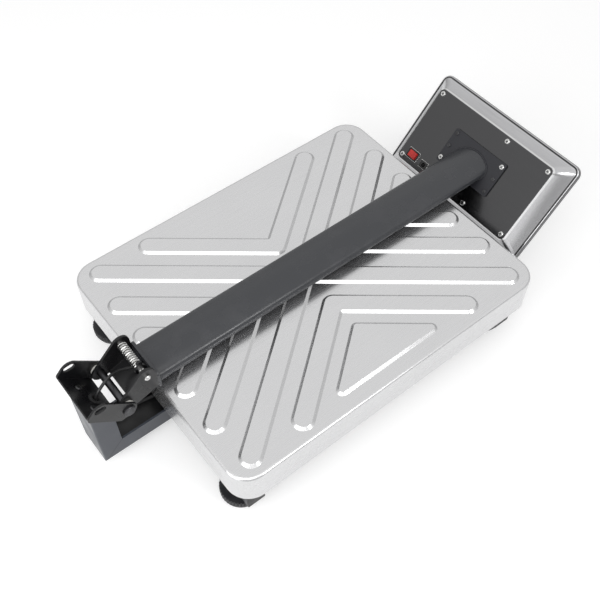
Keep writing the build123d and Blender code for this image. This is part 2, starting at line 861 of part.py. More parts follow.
# Pivot: a headed rod through both ears, held by a clip, with plain washers inside
with BuildPart() as pivot_pin:
    with BuildSketch(Plane((pivot_x, -ear_y_outer, pivot_z), z_dir=(0, 1, 0))):
        Circle(pivot_radius)
    extrude(amount=hinge_width + pivot_tail)
    with BuildSketch(Plane((pivot_x, -ear_y_outer, pivot_z), z_dir=(0, -1, 0))):
        Circle(pivot_head_radius)
    extrude(amount=pivot_head_height)
    chamfer(pivot_pin.faces().sort_by(Axis.Y)[0].edges(), pivot_head_bevel)
pivot_pin.part.label = "pivot_pin"
export_step(pivot_pin.part, "parts/pivot_pin.step")

with BuildPart() as pivot_clip:
    with BuildSketch(Plane((pivot_x, ear_y_outer, pivot_z), z_dir=(0, 1, 0))):
        Circle(pivot_head_radius)
        Circle(pivot_radius, mode=Mode.SUBTRACT)
        with Locations((0, -pivot_head_radius)):
            Rectangle(pivot_radius, pivot_head_radius, mode=Mode.SUBTRACT)
    extrude(amount=pivot_clip_thickness)
pivot_clip.part.label = "pivot_clip"
export_step(pivot_clip.part, "parts/pivot_clip.step")

with BuildPart() as pivot_washers:
    for side in (-1, 1):
        with BuildSketch(Plane((pivot_x, side * ear_y_inner, pivot_z), z_dir=(0, -side, 0))):
            Circle(washer_radius)
            Circle(pivot_radius, mode=Mode.SUBTRACT)
        extrude(amount=ear_y_inner - foot_y_outer - seat_gap)
pivot_washers.part.label = "pivot_washers"
export_step(pivot_washers.part, "parts/pivot_washers.step")

# Column foot: the channel that swings on the pivot and carries the lock pin. Its sloping web
# joins the two arms below the pin
foot_web_x = pan_x - foot_web_start
foot_back_height = end_plate_height - foot_web_rise
with BuildPart() as column_foot:
    with BuildSketch(Plane.XZ) as arm_outline:
        with Locations((pivot_x, pivot_z), (lock_x, lock_z)):
            Circle(foot_lobe_radius)
        back_z = end_plate_bottom + foot_web_rise + foot_back_height / 2
        with Locations((end_plate_x - foot_sheet / 2, back_z)):
            Rectangle(foot_sheet, foot_back_height)
        make_hull()
    extrude(amount=foot_y_outer, both=True)
    above_web = arm_outline.sketch.moved(Location((0, 0, foot_sheet)))
    extrude(above_web, amount=foot_y_inner, both=True, mode=Mode.SUBTRACT)
    with BuildSketch(Plane.XZ):
        with Locations((foot_web_x - foot_y_outer, pivot_z)):
            Rectangle(foot_channel_width, foot_channel_width)
    extrude(amount=foot_y_inner, both=True, mode=Mode.SUBTRACT)
    with BuildSketch(Plane((lock_x, -foot_y_inner, lock_z), z_dir=(0, 1, 0))):
        Circle(collar_radius)
    extrude(amount=lock_bush_length)
    with BuildSketch(Plane.XZ):
        with Locations((pivot_x, pivot_z)):
            Circle(pivot_radius + pivot_clearance)
        with Locations((lock_x, lock_z)):
            Circle(lock_radius + lock_clearance)
    extrude(amount=foot_y_outer, both=True, mode=Mode.SUBTRACT)
column_foot.part.label = "column_foot"
export_step(column_foot.part, "parts/column_foot.step")

with BuildPart() as column_end_plate:
    with BuildSketch(Plane((end_plate_x, 0, column_z), x_dir=(0, 1, 0), z_dir=(1, 0, 0))):
        RectangleRounded(foot_channel_width, end_plate_height, end_plate_corner)
        Circle(tube_hole_radius, mode=Mode.SUBTRACT)
    extrude(amount=end_plate_thickness)
column_end_plate.part.label = "column_end_plate"
export_step(column_end_plate.part, "parts/column_end_plate.step")

# Column tube, mitred onto the plate on the back of the head
mount_face = rear_plane.offset(mount_thickness)
with BuildPart() as column_tube:
    tube_plane = Plane((column_start, 0, column_z), x_dir=(0, 1, 0), z_dir=(1, 0, 0))
    tube_length = column_start_reach + head_reach + column_width
    outside = oval_outline(tube_plane, column_width / 2, column_depth / 2, column_end_radius)
    extrude(outside, amount=tube_length)
    inside = oval_outline(
        tube_plane, column_width / 2 - column_wall, column_depth / 2 - column_wall,
        column_end_radius - column_wall,
    )
    extrude(inside, amount=tube_length, mode=Mode.SUBTRACT)
    split(bisect_by=mount_face, keep=Keep.TOP)
column_tube.part.label = "column_tube"
export_step(column_tube.part, "parts/column_tube.step")

# Lock pin with its collar and spring, held back while the column is folded
pin_tip_y = -foot_y_outer - lock_tip
collar_y = -foot_y_inner + lock_bush_length + lock_travel + seat_gap
with BuildPart() as lock_pin:
    with BuildSketch(Plane((lock_x, pin_tip_y, lock_z), z_dir=(0, 1, 0))):
        Circle(lock_radius)
    extrude(amount=-2 * pin_tip_y)
    chamfer(lock_pin.faces().sort_by(Axis.Y)[0].edges(), lock_chamfer)
    chamfer(lock_pin.faces().sort_by(Axis.Y)[-1].edges(), lock_chamfer)
lock_pin.part.label = "lock_pin"
export_step(lock_pin.part, "parts/lock_pin.step")

with BuildPart() as lock_collar:
    with BuildSketch(Plane((lock_x, collar_y, lock_z), x_dir=(1, 0, 0), z_dir=(0, 1, 0))):
        Circle(collar_radius)
        with Locations((0, -tab_length / 2)):
            RectangleRounded(tab_width, tab_length, tab_width / 2 - seat_gap)
        Circle(lock_radius, mode=Mode.SUBTRACT)
    extrude(amount=collar_length)
lock_collar.part.label = "lock_collar"
export_step(lock_collar.part, "parts/lock_collar.step")

spring_start = collar_y + collar_length + spring_wire_radius
spring_length = foot_y_inner - spring_wire_radius - spring_start
spring_points = []
for step in range(spring_turns * spring_turn_steps + 1):
    turn = radians(360 * step / spring_turn_steps)
    spring_points.append(
        (
            lock_x + spring_mean_radius * cos(turn),
            spring_start + spring_length * step / (spring_turns * spring_turn_steps),
            lock_z + spring_mean_radius * sin(turn),
        )
    )
with BuildPart() as lock_spring:
    with BuildLine():
        coil = Polyline(*spring_points)
    with BuildSketch(Plane(origin=coil @ 0, z_dir=coil % 0)):
        RegularPolygon(spring_wire_radius, 6)
    sweep(path=coil, transition=Transition.RIGHT)
lock_spring.part.label = "lock_spring"
export_step(lock_spring.part, "parts/lock_spring.step")

# Head: rear shell of folded stainless sheet with a flat back panel and flared sides
rim_inner_width = rim_width - 2 * rim_bead
rim_inner_height = rim_height - 2 * rim_bead


def shell_form(inset, front_depth):
    """The flared body of the head drawn in by the sheet thickness."""
    flare = shell_flare * inset
    with BuildPart() as form:
        with BuildSketch(rear_plane.offset(-inset)):
            RectangleRounded(
                panel_width - flare, panel_height - flare, panel_corner_radius - flare / 2
            )
        with BuildSketch(rear_plane.offset(-waist_depth)):
            RectangleRounded(
                waist_width - 2 * inset, waist_height - 2 * inset, waist_corner_radius - inset
            )
        with BuildSketch(rear_plane.offset(-shell_depth)):
            RectangleRounded(
                rim_inner_width - 2 * inset,
                rim_inner_height - 2 * inset,
                rim_corner_radius - rim_bead - inset,
            )
        loft()
        with BuildSketch(rear_plane.offset(-shell_depth)):
            if inset:
                RectangleRounded(
                    rim_inner_width - 2 * inset,
                    rim_inner_height - 2 * inset,
                    rim_corner_radius - rim_bead - inset,
                )
            else:
                RectangleRounded(rim_width, rim_height, rim_corner_radius)
        extrude(amount=-front_depth)
        if not inset:
            outward = Axis(rear_plane.origin, rear_plane.z_dir)
            rim_back = form.faces().filter_by(rear_plane).sort_by(outward)[1]
            fillet(rim_back.outer_wire().edges(), rim_round)
    return form.part


with BuildPart() as head_rear_shell:
    add(shell_form(0, shell_lip))
    add(shell_form(shell_sheet, shell_lip), mode=Mode.SUBTRACT)
    round_holes(rear_plane, panel_screws, screw_radius, shell_sheet)
    round_holes(rear_plane, bright_screws + dark_screws, screw_radius, shell_sheet)
    round_holes(rear_plane, [(0, 0)], tube_hole_radius, shell_sheet)
    with BuildSketch(rear_plane):
        with Locations((switch_x, switch_y)):
            Rectangle(*switch_body)
        with Locations((socket_x, socket_y)):
            Rectangle(*socket_body)
    extrude(amount=-shell_sheet, mode=Mode.SUBTRACT)
head_rear_shell.part.label = "head_rear_shell"
export_step(head_rear_shell.part, "parts/head_rear_shell.step")

with BuildPart() as shell_screws:
    add(
        bevelled_screws(
            rear_plane, panel_screws, screw_head_radius, screw_head_height, screw_radius,
            panel_screw_length,
        )
    )
shell_screws.part.label = "shell_screws"
export_step(shell_screws.part, "parts/shell_screws.step")

# Mounting plate under the column and the plate that backs it inside the head
with BuildPart() as head_mount_plate:
    with BuildSketch(rear_plane):
        RectangleRounded(mount_width, mount_height, mount_corner_radius)
        Circle(tube_hole_radius, mode=Mode.SUBTRACT)
        with Locations(*(bright_screws + dark_screws)):
            Circle(screw_radius, mode=Mode.SUBTRACT)
    extrude(amount=mount_thickness)
head_mount_plate.part.label = "head_mount_plate"
export_step(head_mount_plate.part, "parts/head_mount_plate.step")

with BuildPart() as head_backing_plate:
    with BuildSketch(rear_plane.offset(-shell_sheet)):
        RectangleRounded(
            mount_width + 2 * backing_margin, mount_height + 2 * backing_margin,
            mount_corner_radius,
        )
        Circle(tube_hole_radius, mode=Mode.SUBTRACT)
        with Locations(*(bright_screws + dark_screws)):
            Circle(screw_radius, mode=Mode.SUBTRACT)
    extrude(amount=-backing_thickness)
head_backing_plate.part.label = "head_backing_plate"
export_step(head_backing_plate.part, "parts/head_backing_plate.step")

mount_screw_length = mount_thickness + shell_sheet + backing_thickness + screw_end
with BuildPart() as mount_screws:
    add(
        bevelled_screws(
            mount_face, bright_screws, screw_head_radius, screw_head_height, screw_radius,
            mount_screw_length,
        )
    )
mount_screws.part.label = "mount_screws"
export_step(mount_screws.part, "parts/mount_screws.step")

with BuildPart() as mount_bolts:
    add(
        bevelled_screws(
            mount_face, dark_screws, dark_head_radius, dark_head_height, screw_radius,
            mount_screw_length,
        )
    )
mount_bolts.part.label = "mount_bolts"
export_step(mount_bolts.part, "parts/mount_bolts.step")

# Front bezel with its window and key openings, and the bosses for the shell screws
key_places = []
for row in range(key_rows):
    for column in range(key_columns):
        key_x = (column - (key_columns - 1) / 2) * key_pitch_x
        key_y = keys_y - (row - (key_rows - 1) / 2) * key_pitch_y
        key_places.append((key_x, key_y))
boss_places = [(x, y) for x, y in panel_screws if abs(x) == panel_screw_x]
post_places = [(-x, y) for x, y in panel_screws if abs(x) != panel_screw_x]
mat_top = -(2 * seat_gap + key_flange_thickness + key_travel)
board_front = mat_top - mat_thickness
window_width = rim_width - 2 * window_margin
board_back = board_front - board_thickness
panel_inside = front_outer - shell_sheet

with BuildPart() as front_bezel:
    with BuildSketch(front_plane):
        RectangleRounded(rim_width, rim_height, rim_corner_radius)
    extrude(amount=front_thickness)
    outer_face = front_bezel.faces().sort_by(Axis(front_plane.origin, front_plane.z_dir))[-1]
    chamfer(outer_face.edges(), front_edge_bevel)
    with BuildSketch(front_plane):
        skirt_width = rim_inner_width - 2 * shell_sheet
        skirt_height = rim_inner_height - 2 * shell_sheet
        skirt_corner = rim_corner_radius - rim_bead - shell_sheet
        RectangleRounded(skirt_width, skirt_height, skirt_corner)
        RectangleRounded(
            skirt_width - 2 * front_wall,
            skirt_height - 2 * front_wall,
            skirt_corner - front_wall,
            mode=Mode.SUBTRACT,
        )
    extrude(amount=-front_skirt_depth)
    with BuildSketch(front_plane):
        with Locations(*boss_places):
            Circle(boss_radius)
    extrude(amount=-panel_inside)
    with BuildSketch(front_plane):
        with Locations(*rest_places):
            Circle(rest_radius)
    extrude(amount=board_front)
    with BuildSketch(front_plane.offset(-panel_inside)):
        with Locations(*boss_places):
            Circle(screw_radius)
    extrude(amount=panel_screw_length, mode=Mode.SUBTRACT)
    with BuildSketch(front_plane):
        with Locations((0, window_y)):
            Rectangle(window_width - 2 * window_ledge, window_height - 2 * window_ledge)
        with Locations(*key_places):
            RectangleRounded(
                key_width + 2 * key_gap, key_height + 2 * key_gap, key_corner + key_gap
            )
    extrude(amount=front_thickness, mode=Mode.SUBTRACT)
    with BuildSketch(front_plane.offset(front_thickness)):
        with Locations((0, window_y)):
            RectangleRounded(window_width, window_height, window_corner)
    extrude(amount=-window_thickness, mode=Mode.SUBTRACT)
front_bezel.part.label = "front_bezel"
export_step(front_bezel.part, "parts/front_bezel.step")

with BuildPart() as display_window:
    with BuildSketch(front_plane.offset(front_thickness)):
        with Locations((0, window_y)):
            RectangleRounded(window_width, window_height, window_corner)
    extrude(amount=-window_thickness)
display_window.part.label = "display_window"
export_step(display_window.part, "parts/display_window.step")

# Keys: a cap through the bezel on a flange behind it, hollow over the dome
for number, (key_x, key_y) in enumerate(key_places, start=1):
    with BuildPart() as key:
        with BuildSketch(front_plane.offset(front_thickness + key_stand_out)):
            with Locations((key_x, key_y)):
                RectangleRounded(key_width, key_height, key_corner)
        extrude(amount=-front_thickness - key_stand_out - seat_gap)
        key_face = key.faces().sort_by(Axis(front_plane.origin, front_plane.z_dir))[-1]
        chamfer(key_face.edges(), key_edge_bevel)
        with BuildSketch(front_plane.offset(-seat_gap)):
            with Locations((key_x, key_y)):
                Rectangle(key_width + 2 * key_flange, key_height + 2 * key_flange)
        extrude(amount=-key_flange_thickness)
        with BuildSketch(front_plane.offset(-seat_gap - key_flange_thickness)):
            with Locations((key_x, key_y)):
                Rectangle(2 * dome_radius + key_stand_out, 2 * dome_radius + key_stand_out)
        extrude(amount=key_flange_thickness + key_stand_out, mode=Mode.SUBTRACT)
    key.part.label = f"key_{number}"
    export_step(key.part, f"parts/key_{number}.step")

with BuildPart() as keypad_mat:
    with BuildSketch(front_plane.offset(board_front)):
        with Locations((0, keys_y)):
            Rectangle(mat_width, mat_height)
    extrude(amount=mat_thickness)
    with BuildSketch(front_plane.offset(mat_top)):
        with Locations(*key_places):
            RegularPolygon(dome_radius, 8)
    extrude(amount=dome_height, taper=dome_taper)
keypad_mat.part.label = "keypad_mat"
export_step(keypad_mat.part, "parts/keypad_mat.step")

with BuildPart() as lcd_module:
    with BuildSketch(front_plane.offset(board_front)):
        with Locations((0, window_y)):
            Rectangle(*lcd_size)
    extrude(amount=-board_front - seat_gap)
lcd_module.part.label = "lcd_module"
export_step(lcd_module.part, "parts/lcd_module.step")

with BuildPart() as circuit_board:
    with BuildSketch(front_plane.offset(board_front)):
        Rectangle(board_width, board_height)
    extrude(amount=-board_thickness)
    with BuildSketch(front_plane.offset(board_back)):
        with Locations((-board_width / 4, 0)):
            Rectangle(board_chip, board_chip)
        with Locations((board_width / 4, board_chip)):
            Rectangle(board_chip / 2, board_chip / 2)
    extrude(amount=-board_chip_height)
circuit_board.part.label = "circuit_board"
export_step(circuit_board.part, "parts/circuit_board.step")

with BuildPart() as board_posts:
    with BuildSketch(front_plane.offset(-panel_inside)):
        with Locations(*post_places):
            RegularPolygon(boss_radius, 6, major_radius=False)
    extrude(amount=panel_inside + board_back)
    with BuildSketch(front_plane.offset(-panel_inside)):
        with Locations(*post_places):
            Circle(screw_radius)
    extrude(amount=panel_screw_length, mode=Mode.SUBTRACT)
board_posts.part.label = "board_posts"
export_step(board_posts.part, "parts/board_posts.step")

with BuildPart() as battery:
    with BuildSketch(rear_plane.offset(-shell_sheet - seat_gap)):
        with Locations(battery_offset):
            RectangleRounded(battery_size[0], battery_size[1], battery_corner)
    extrude(amount=-battery_size[2])
battery.part.label = "battery"
export_step(battery.part, "parts/battery.step")

# Rocker switch in its housing
switch_plane = Plane(
    origin=rear_plane.from_local_coords(Vector(switch_x, switch_y, rocker_pivot_height)),
    x_dir=rear_plane.x_dir,
    z_dir=-rear_plane.y_dir,
)
swing = radians(rocker_swing)
tilted_plane = Plane(
    origin=switch_plane.origin,
    x_dir=switch_plane.x_dir * cos(swing) + switch_plane.y_dir * sin(swing),
    z_dir=switch_plane.z_dir,
)
pocket_length = rocker_length + 2 * rocker_gap
pocket_width = rocker_width + 2 * rocker_gap
with BuildPart() as rocker_housing:
    with BuildSketch(rear_plane):
        with Locations((switch_x, switch_y)):
            RectangleRounded(switch_bezel[0], switch_bezel[1], switch_corner)
    extrude(amount=switch_bezel_height)
    with BuildSketch(rear_plane):
        with Locations((switch_x, switch_y)):
            Rectangle(*switch_body)
    extrude(amount=-switch_body_depth)
    with BuildSketch(rear_plane.offset(switch_bezel_height)):
        with Locations((switch_x, switch_y)):
            Rectangle(pocket_length, pocket_width)
    extrude(amount=-switch_bezel_height - switch_pocket_depth, mode=Mode.SUBTRACT)
    with BuildSketch(switch_plane):
        Circle(rocker_pin_radius + pivot_clearance)
    extrude(amount=rocker_pin_reach + seat_gap, both=True, mode=Mode.SUBTRACT)
rocker_housing.part.label = "rocker_housing"
export_step(rocker_housing.part, "parts/rocker_housing.step")

with BuildPart() as rocker:
    with BuildSketch(tilted_plane):
        Circle(rocker_length / 2)
        end_rise = rocker_rise + rocker_length / 2 * tan(radians(rocker_swing))
        Polygon(
            (-rocker_length / 2, end_rise),
            (0, rocker_rise),
            (rocker_length / 2, end_rise),
            (rocker_length / 2, -rocker_depth),
            (-rocker_length / 2, -rocker_depth),
            align=None,
            mode=Mode.INTERSECT,
        )
    extrude(amount=rocker_width / 2, both=True)
    with BuildSketch(switch_plane):
        Circle(rocker_pin_radius)
    extrude(amount=rocker_pin_reach, both=True)
rocker.part.label = "rocker"
export_step(rocker.part, "parts/rocker.step")

with BuildPart() as dc_socket:
    with BuildSketch(rear_plane):
        with Locations((socket_x, socket_y)):
            RectangleRounded(socket_size[0], socket_size[1], switch_corner)
    extrude(amount=socket_flange_height)
    with BuildSketch(rear_plane):
        with Locations((socket_x, socket_y)):
            Rectangle(*socket_body)
    extrude(amount=-socket_depth)
    with BuildSketch(rear_plane.offset(socket_flange_height)):
        with Locations((socket_x, socket_y)):
            Circle(socket_bore_radius)
            Circle(socket_pin_radius, mode=Mode.SUBTRACT)
    extrude(amount=-socket_bore_depth, mode=Mode.SUBTRACT)
dc_socket.part.label = "dc_socket"
export_step(dc_socket.part, "parts/dc_socket.step")

# Signal cable: from the load cell under the pan, up through the hinge bracket, along the
# bottom of the column tube and through the mounting plate into the head
cable_entry = rear_plane.from_local_coords(Vector(0, 0, cable_bend_height))
cable_end = rear_plane.from_local_coords(Vector(0, 0, -cable_end_depth))
tube_floor = column_z - column_depth / 2 + column_wall + cable_radius + cable_lift
cell_face_x = pan_x + cell_x - cell_length / 2
cell_exit_z = cell_bottom + cell_height / 2
cable_gap_z = (frame_top + pan_height - pan_skirt) / 2
hole_x, hole_z = hinge_point(cable_hole_along, 0)
lean_x = sin(radians(cable_lean))
lean_z = cos(radians(cable_lean))

# Under the pan the cable dips through the gap between the frame and the pan's skirt
hidden_start = cell_face_x - cable_straight
hidden_end = bracket_end + bracket_post_length / 2
hidden_step = (hidden_end - hidden_start) / cable_hidden_waves
hidden_heights = [
    (cell_exit_z + cable_gap_z) / 2,
    cable_gap_z,
    cable_gap_z,
    cable_gap_z + cable_post_rise / 4,
    cable_gap_z + cable_post_rise,
]
cable_points = [(cell_face_x, 0, cell_exit_z), (hidden_start, 0, cell_exit_z)]
for count, height in enumerate(hidden_heights, start=1):
    side = 1 if count % 2 == 0 else -1
    cable_points.append((hidden_start + count * hidden_step, side * cable_hidden_side, height))

# Through the hinge bracket and over the pivot into the tube
below = (hole_x - cable_below_hole * lean_x, cable_hole_y, hole_z - cable_below_hole * lean_z)
above = (hole_x + cable_above_hole * lean_x, cable_hole_y, hole_z + cable_above_hole * lean_z)
cable_points.append(below)
cable_points.append(above)
cable_points.append((pivot_x, cable_over_pivot_side, pivot_z + cable_over_pivot))
past_pivot_x = pivot_x + cable_past_pivot
cable_points.append((past_pivot_x, cable_past_pivot_side, pivot_z + cable_past_pivot_rise))
cable_points.append((end_plate_x + end_plate_thickness / 2, 0, column_z))

# Along the tube's floor in shallow waves, then square through the mounting plate
tube_run_end = cable_entry.X - cable_tube_end
tube_step = (tube_run_end - column_start) / cable_tube_waves
for count in range(1, cable_tube_waves + 1):
    side = 1 if count % 2 == 0 else -1
    height = column_z if count == cable_tube_waves else tube_floor
    cable_points.append((column_start + count * tube_step, side * cable_tube_side, height))
cable_points.append((cable_entry.X, 0, cable_entry.Z))
cable_points.append((cable_end.X, 0, cable_end.Z))

cable_vectors = [Vector(*point) for point in cable_points]
cable_radii = []
for before, here, after in zip(cable_vectors, cable_vectors[1:], cable_vectors[2:]):
    run_in = here - before
    run_out = after - here
    half_turn = radians(run_in.get_angle(run_out)) / 2
    shorter = min(run_in.length, run_out.length)
    cable_radii.append(bend_share * shorter / tan(half_turn))
print("cable bend radii, mm:", [round(radius, 1) for radius in cable_radii])

with BuildPart() as signal_cable:
    with BuildLine():
        route = FilletPolyline(*cable_points, radius=cable_radii)
    with BuildSketch(Plane(origin=route @ 0, z_dir=route % 0)):
        RegularPolygon(cable_radius, cable_sides)
    sweep(path=route)
signal_cable.part.label = "signal_cable"
export_step(signal_cable.part, "parts/signal_cable.step")
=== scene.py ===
"""Looks of the folding platform scale: materials, small surface details, light and camera.

Everything is in metres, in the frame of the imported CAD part: Z 0 is the floor, and +X runs
along the folded column towards the head.
"""

import math

import bpy
from mathutils import Matrix, Vector


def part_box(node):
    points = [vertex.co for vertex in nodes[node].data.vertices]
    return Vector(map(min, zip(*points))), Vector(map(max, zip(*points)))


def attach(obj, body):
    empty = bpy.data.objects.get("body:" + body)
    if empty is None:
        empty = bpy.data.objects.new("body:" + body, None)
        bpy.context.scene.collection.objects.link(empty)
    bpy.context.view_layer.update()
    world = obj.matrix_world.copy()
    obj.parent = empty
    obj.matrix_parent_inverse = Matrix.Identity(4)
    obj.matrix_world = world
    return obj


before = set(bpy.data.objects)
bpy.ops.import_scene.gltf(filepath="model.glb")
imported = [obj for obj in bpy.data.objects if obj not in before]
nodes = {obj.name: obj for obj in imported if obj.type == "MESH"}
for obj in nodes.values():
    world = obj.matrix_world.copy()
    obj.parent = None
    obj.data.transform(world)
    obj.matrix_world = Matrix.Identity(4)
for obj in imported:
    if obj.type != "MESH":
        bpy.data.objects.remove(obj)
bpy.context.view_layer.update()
MM = 0.001


def centre(node):
    """Middle of a CAD node's box."""
    low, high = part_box(node)
    return (Vector(low) + Vector(high)) / 2


pan_low, pan_high = [Vector(corner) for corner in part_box("weighing_pan")]
pan_mid = (pan_low + pan_high) / 2
RIB_HEIGHT = 3 * MM
pan_top = pan_high.z - RIB_HEIGHT

# Camera, solved from the pan's edges: an angle of view and a place above the pan's centre
IMAGE_PIXELS = 600
FOCAL_PIXELS = 848.934
SENSOR = 36.0
CAMERA_AZIMUTH = math.radians(-38.268)
CAMERA_ELEVATION = math.radians(53.841)
CAMERA_FROM_PAN = Vector((-440.3, -549.6, 905.5)) * MM

# The head's own directions: across, up the panel, and out of its back
HEAD_TILT = math.radians(48)
HEAD_UP = Vector((math.cos(HEAD_TILT), 0, math.sin(HEAD_TILT)))
HEAD_BACK = Vector((-math.sin(HEAD_TILT), 0, math.cos(HEAD_TILT)))
HEAD_LEFT = Vector((0, 1, 0))
MOUNT_THICKNESS = 3 * MM
head_mid = centre("head_mount_plate") - HEAD_BACK * MOUNT_THICKNESS / 2

HINGE_TILT = math.radians(45)
HINGE_OUT = Vector((math.sin(HINGE_TILT), 0, math.cos(HINGE_TILT)))

# Sizes that the details share with the CAD part
COLUMN_END_RADIUS = 9.3 * MM
BRACKET_SHEET = 3 * MM
BRACKET_POST_LENGTH = 29 * MM
scene = bpy.context.scene


class Shader:
    """A node material around one Principled shader, with short calls for what these looks need."""

    def __init__(self, name, color, roughness, metallic=0.0):
        self.material = bpy.data.materials.new(name)
        self.material.use_nodes = True
        self.tree = self.material.node_tree
        self.bsdf = self.tree.nodes["Principled BSDF"]
        self.bsdf.inputs["Metallic"].default_value = metallic
        self.color = self.constant_color(color)
        self.set_roughness(roughness)
        self.bump_normal = None
        self.coords = self.tree.nodes.new("ShaderNodeTexCoord").outputs["Object"]

    def constant_color(self, color):
        self.bsdf.inputs["Base Color"].default_value = (*color, 1)
        return color

    def set_roughness(self, value):
        self.bsdf.inputs["Roughness"].default_value = value

    def noise(self, scale, stretch=(1, 1, 1), turn=(0, 0, 0), detail=3.0, seed=0.0):
        """A noise value in the object's own space, stretched along its axes after a turn."""
        mapping = self.tree.nodes.new("ShaderNodeMapping")
        mapping.vector_type = "POINT"
        mapping.inputs["Rotation"].default_value = turn
        mapping.inputs["Scale"].default_value = stretch
        mapping.inputs["Location"].default_value = (seed, seed, seed)
        self.tree.links.new(self.coords, mapping.inputs["Vector"])
        texture = self.tree.nodes.new("ShaderNodeTexNoise")
        texture.inputs["Scale"].default_value = scale
        texture.inputs["Detail"].default_value = detail
        self.tree.links.new(mapping.outputs["Vector"], texture.inputs["Vector"])
        return texture.outputs["Fac"]

    def ramp(self, value, low, high, low_out, high_out):
        """Maps a value from one range to another, held inside it."""
        node = self.tree.nodes.new("ShaderNodeMapRange")
        node.clamp = True
        node.inputs["From Min"].default_value = low
        node.inputs["From Max"].default_value = high
        node.inputs["To Min"].default_value = low_out
        node.inputs["To Max"].default_value = high_out
        self.tree.links.new(value, node.inputs["Value"])
        return node.outputs["Result"]

    def tint(self, factor, color):
        """Mixes another colour into the base colour by a factor."""
        mix = self.tree.nodes.new("ShaderNodeMix")
        mix.data_type = "RGBA"
        self.tree.links.new(factor, mix.inputs["Factor"])
        if isinstance(self.color, tuple):
            mix.inputs["A"].default_value = (*self.color, 1)
        else:
            self.tree.links.new(self.color, mix.inputs["A"])
        mix.inputs["B"].default_value = (*color, 1)
        self.color = mix.outputs["Result"]
        self.tree.links.new(self.color, self.bsdf.inputs["Base Color"])

    def vary_roughness(self, value, low_out, high_out):
        result = self.ramp(value, 0.35, 0.65, low_out, high_out)
        self.tree.links.new(result, self.bsdf.inputs["Roughness"])

    def bump(self, value, strength, distance):
        """Adds a bump on top of those already there."""
        node = self.tree.nodes.new("ShaderNodeBump")
        node.inputs["Strength"].default_value = strength
        node.inputs["Distance"].default_value = distance
        self.tree.links.new(value, node.inputs["Height"])
        if self.bump_normal:
            self.tree.links.new(self.bump_normal, node.inputs["Normal"])
        self.bump_normal = node.outputs["Normal"]
        self.tree.links.new(self.bump_normal, self.bsdf.inputs["Normal"])

    def round_edges(self, radius):
        """Softens hard CAD edges in the shading."""
        node = self.tree.nodes.new("ShaderNodeBevel")
        node.samples = 6
        node.inputs["Radius"].default_value = radius
        self.bump_normal = node.outputs["Normal"]
        self.tree.links.new(self.bump_normal, self.bsdf.inputs["Normal"])

    def combine(self, operation, first, second=None):
        """One or two values through a maths node."""
        node = self.tree.nodes.new("ShaderNodeMath")
        node.operation = operation
        self.tree.links.new(first, node.inputs[0])
        if second is not None:
            self.tree.links.new(second, node.inputs[1])
        return node.outputs["Value"]

    def rounded_box(self, origin, across, up, half_width, half_height, radius):
        """Distance from a rounded rectangle's outline, below 0 inside it."""
        sides = []
        for direction, half in ((across, half_width), (up, half_height)):
            offset = self.combine("ABSOLUTE", self.along(direction, origin))
            past = self.tree.nodes.new("ShaderNodeMath")
            past.operation = "SUBTRACT"
            past.inputs[1].default_value = half - radius
            self.tree.links.new(offset, past.inputs[0])
            sides.append(past.outputs["Value"])
        outside = self.tree.nodes.new("ShaderNodeCombineXYZ")
        for value, socket in zip(sides, ("X", "Y")):
            held = self.tree.nodes.new("ShaderNodeMath")
            held.operation = "MAXIMUM"
            held.inputs[1].default_value = 0.0
            self.tree.links.new(value, held.inputs[0])
            self.tree.links.new(held.outputs["Value"], outside.inputs[socket])
        length = self.tree.nodes.new("ShaderNodeVectorMath")
        length.operation = "LENGTH"
        self.tree.links.new(outside.outputs["Vector"], length.inputs[0])
        inside = self.tree.nodes.new("ShaderNodeMath")
        inside.operation = "MINIMUM"
        inside.inputs[1].default_value = 0.0
        self.tree.links.new(self.combine("MAXIMUM", *sides), inside.inputs[0])
        total = self.combine("ADD", length.outputs["Value"], inside.outputs["Value"])
        result = self.tree.nodes.new("ShaderNodeMath")
        result.operation = "SUBTRACT"
        result.inputs[1].default_value = radius
        self.tree.links.new(total, result.inputs[0])
        return result.outputs["Value"]

    def line(self, value, middle, half_width, strength):
        """A soft line where a value passes a middle."""
        away = self.tree.nodes.new("ShaderNodeMath")
        away.operation = "SUBTRACT"
        away.inputs[1].default_value = middle
        self.tree.links.new(value, away.inputs[0])
        distance = self.combine("ABSOLUTE", away.outputs["Value"])
        return self.ramp(distance, 0.4 * half_width, half_width, strength, 0.0)

    def facing(self, direction):
        """How much a surface of the object faces a direction in its own space, from -1 to 1."""
        geometry = self.tree.nodes.new("ShaderNodeTexCoord")
        dot = self.tree.nodes.new("ShaderNodeVectorMath")
        dot.operation = "DOT_PRODUCT"
        dot.inputs[1].default_value = direction
        self.tree.links.new(geometry.outputs["Normal"], dot.inputs[0])
        return dot.outputs["Value"]

    def along(self, direction, origin):
        """Distance along a direction from a point, in the object's own space."""
        shift = self.tree.nodes.new("ShaderNodeVectorMath")
        shift.operation = "SUBTRACT"
        shift.inputs[1].default_value = origin
        self.tree.links.new(self.coords, shift.inputs[0])
        dot = self.tree.nodes.new("ShaderNodeVectorMath")
        dot.operation = "DOT_PRODUCT"
        dot.inputs[1].default_value = direction
        self.tree.links.new(shift.outputs["Vector"], dot.inputs[0])
        return dot.outputs["Value"]


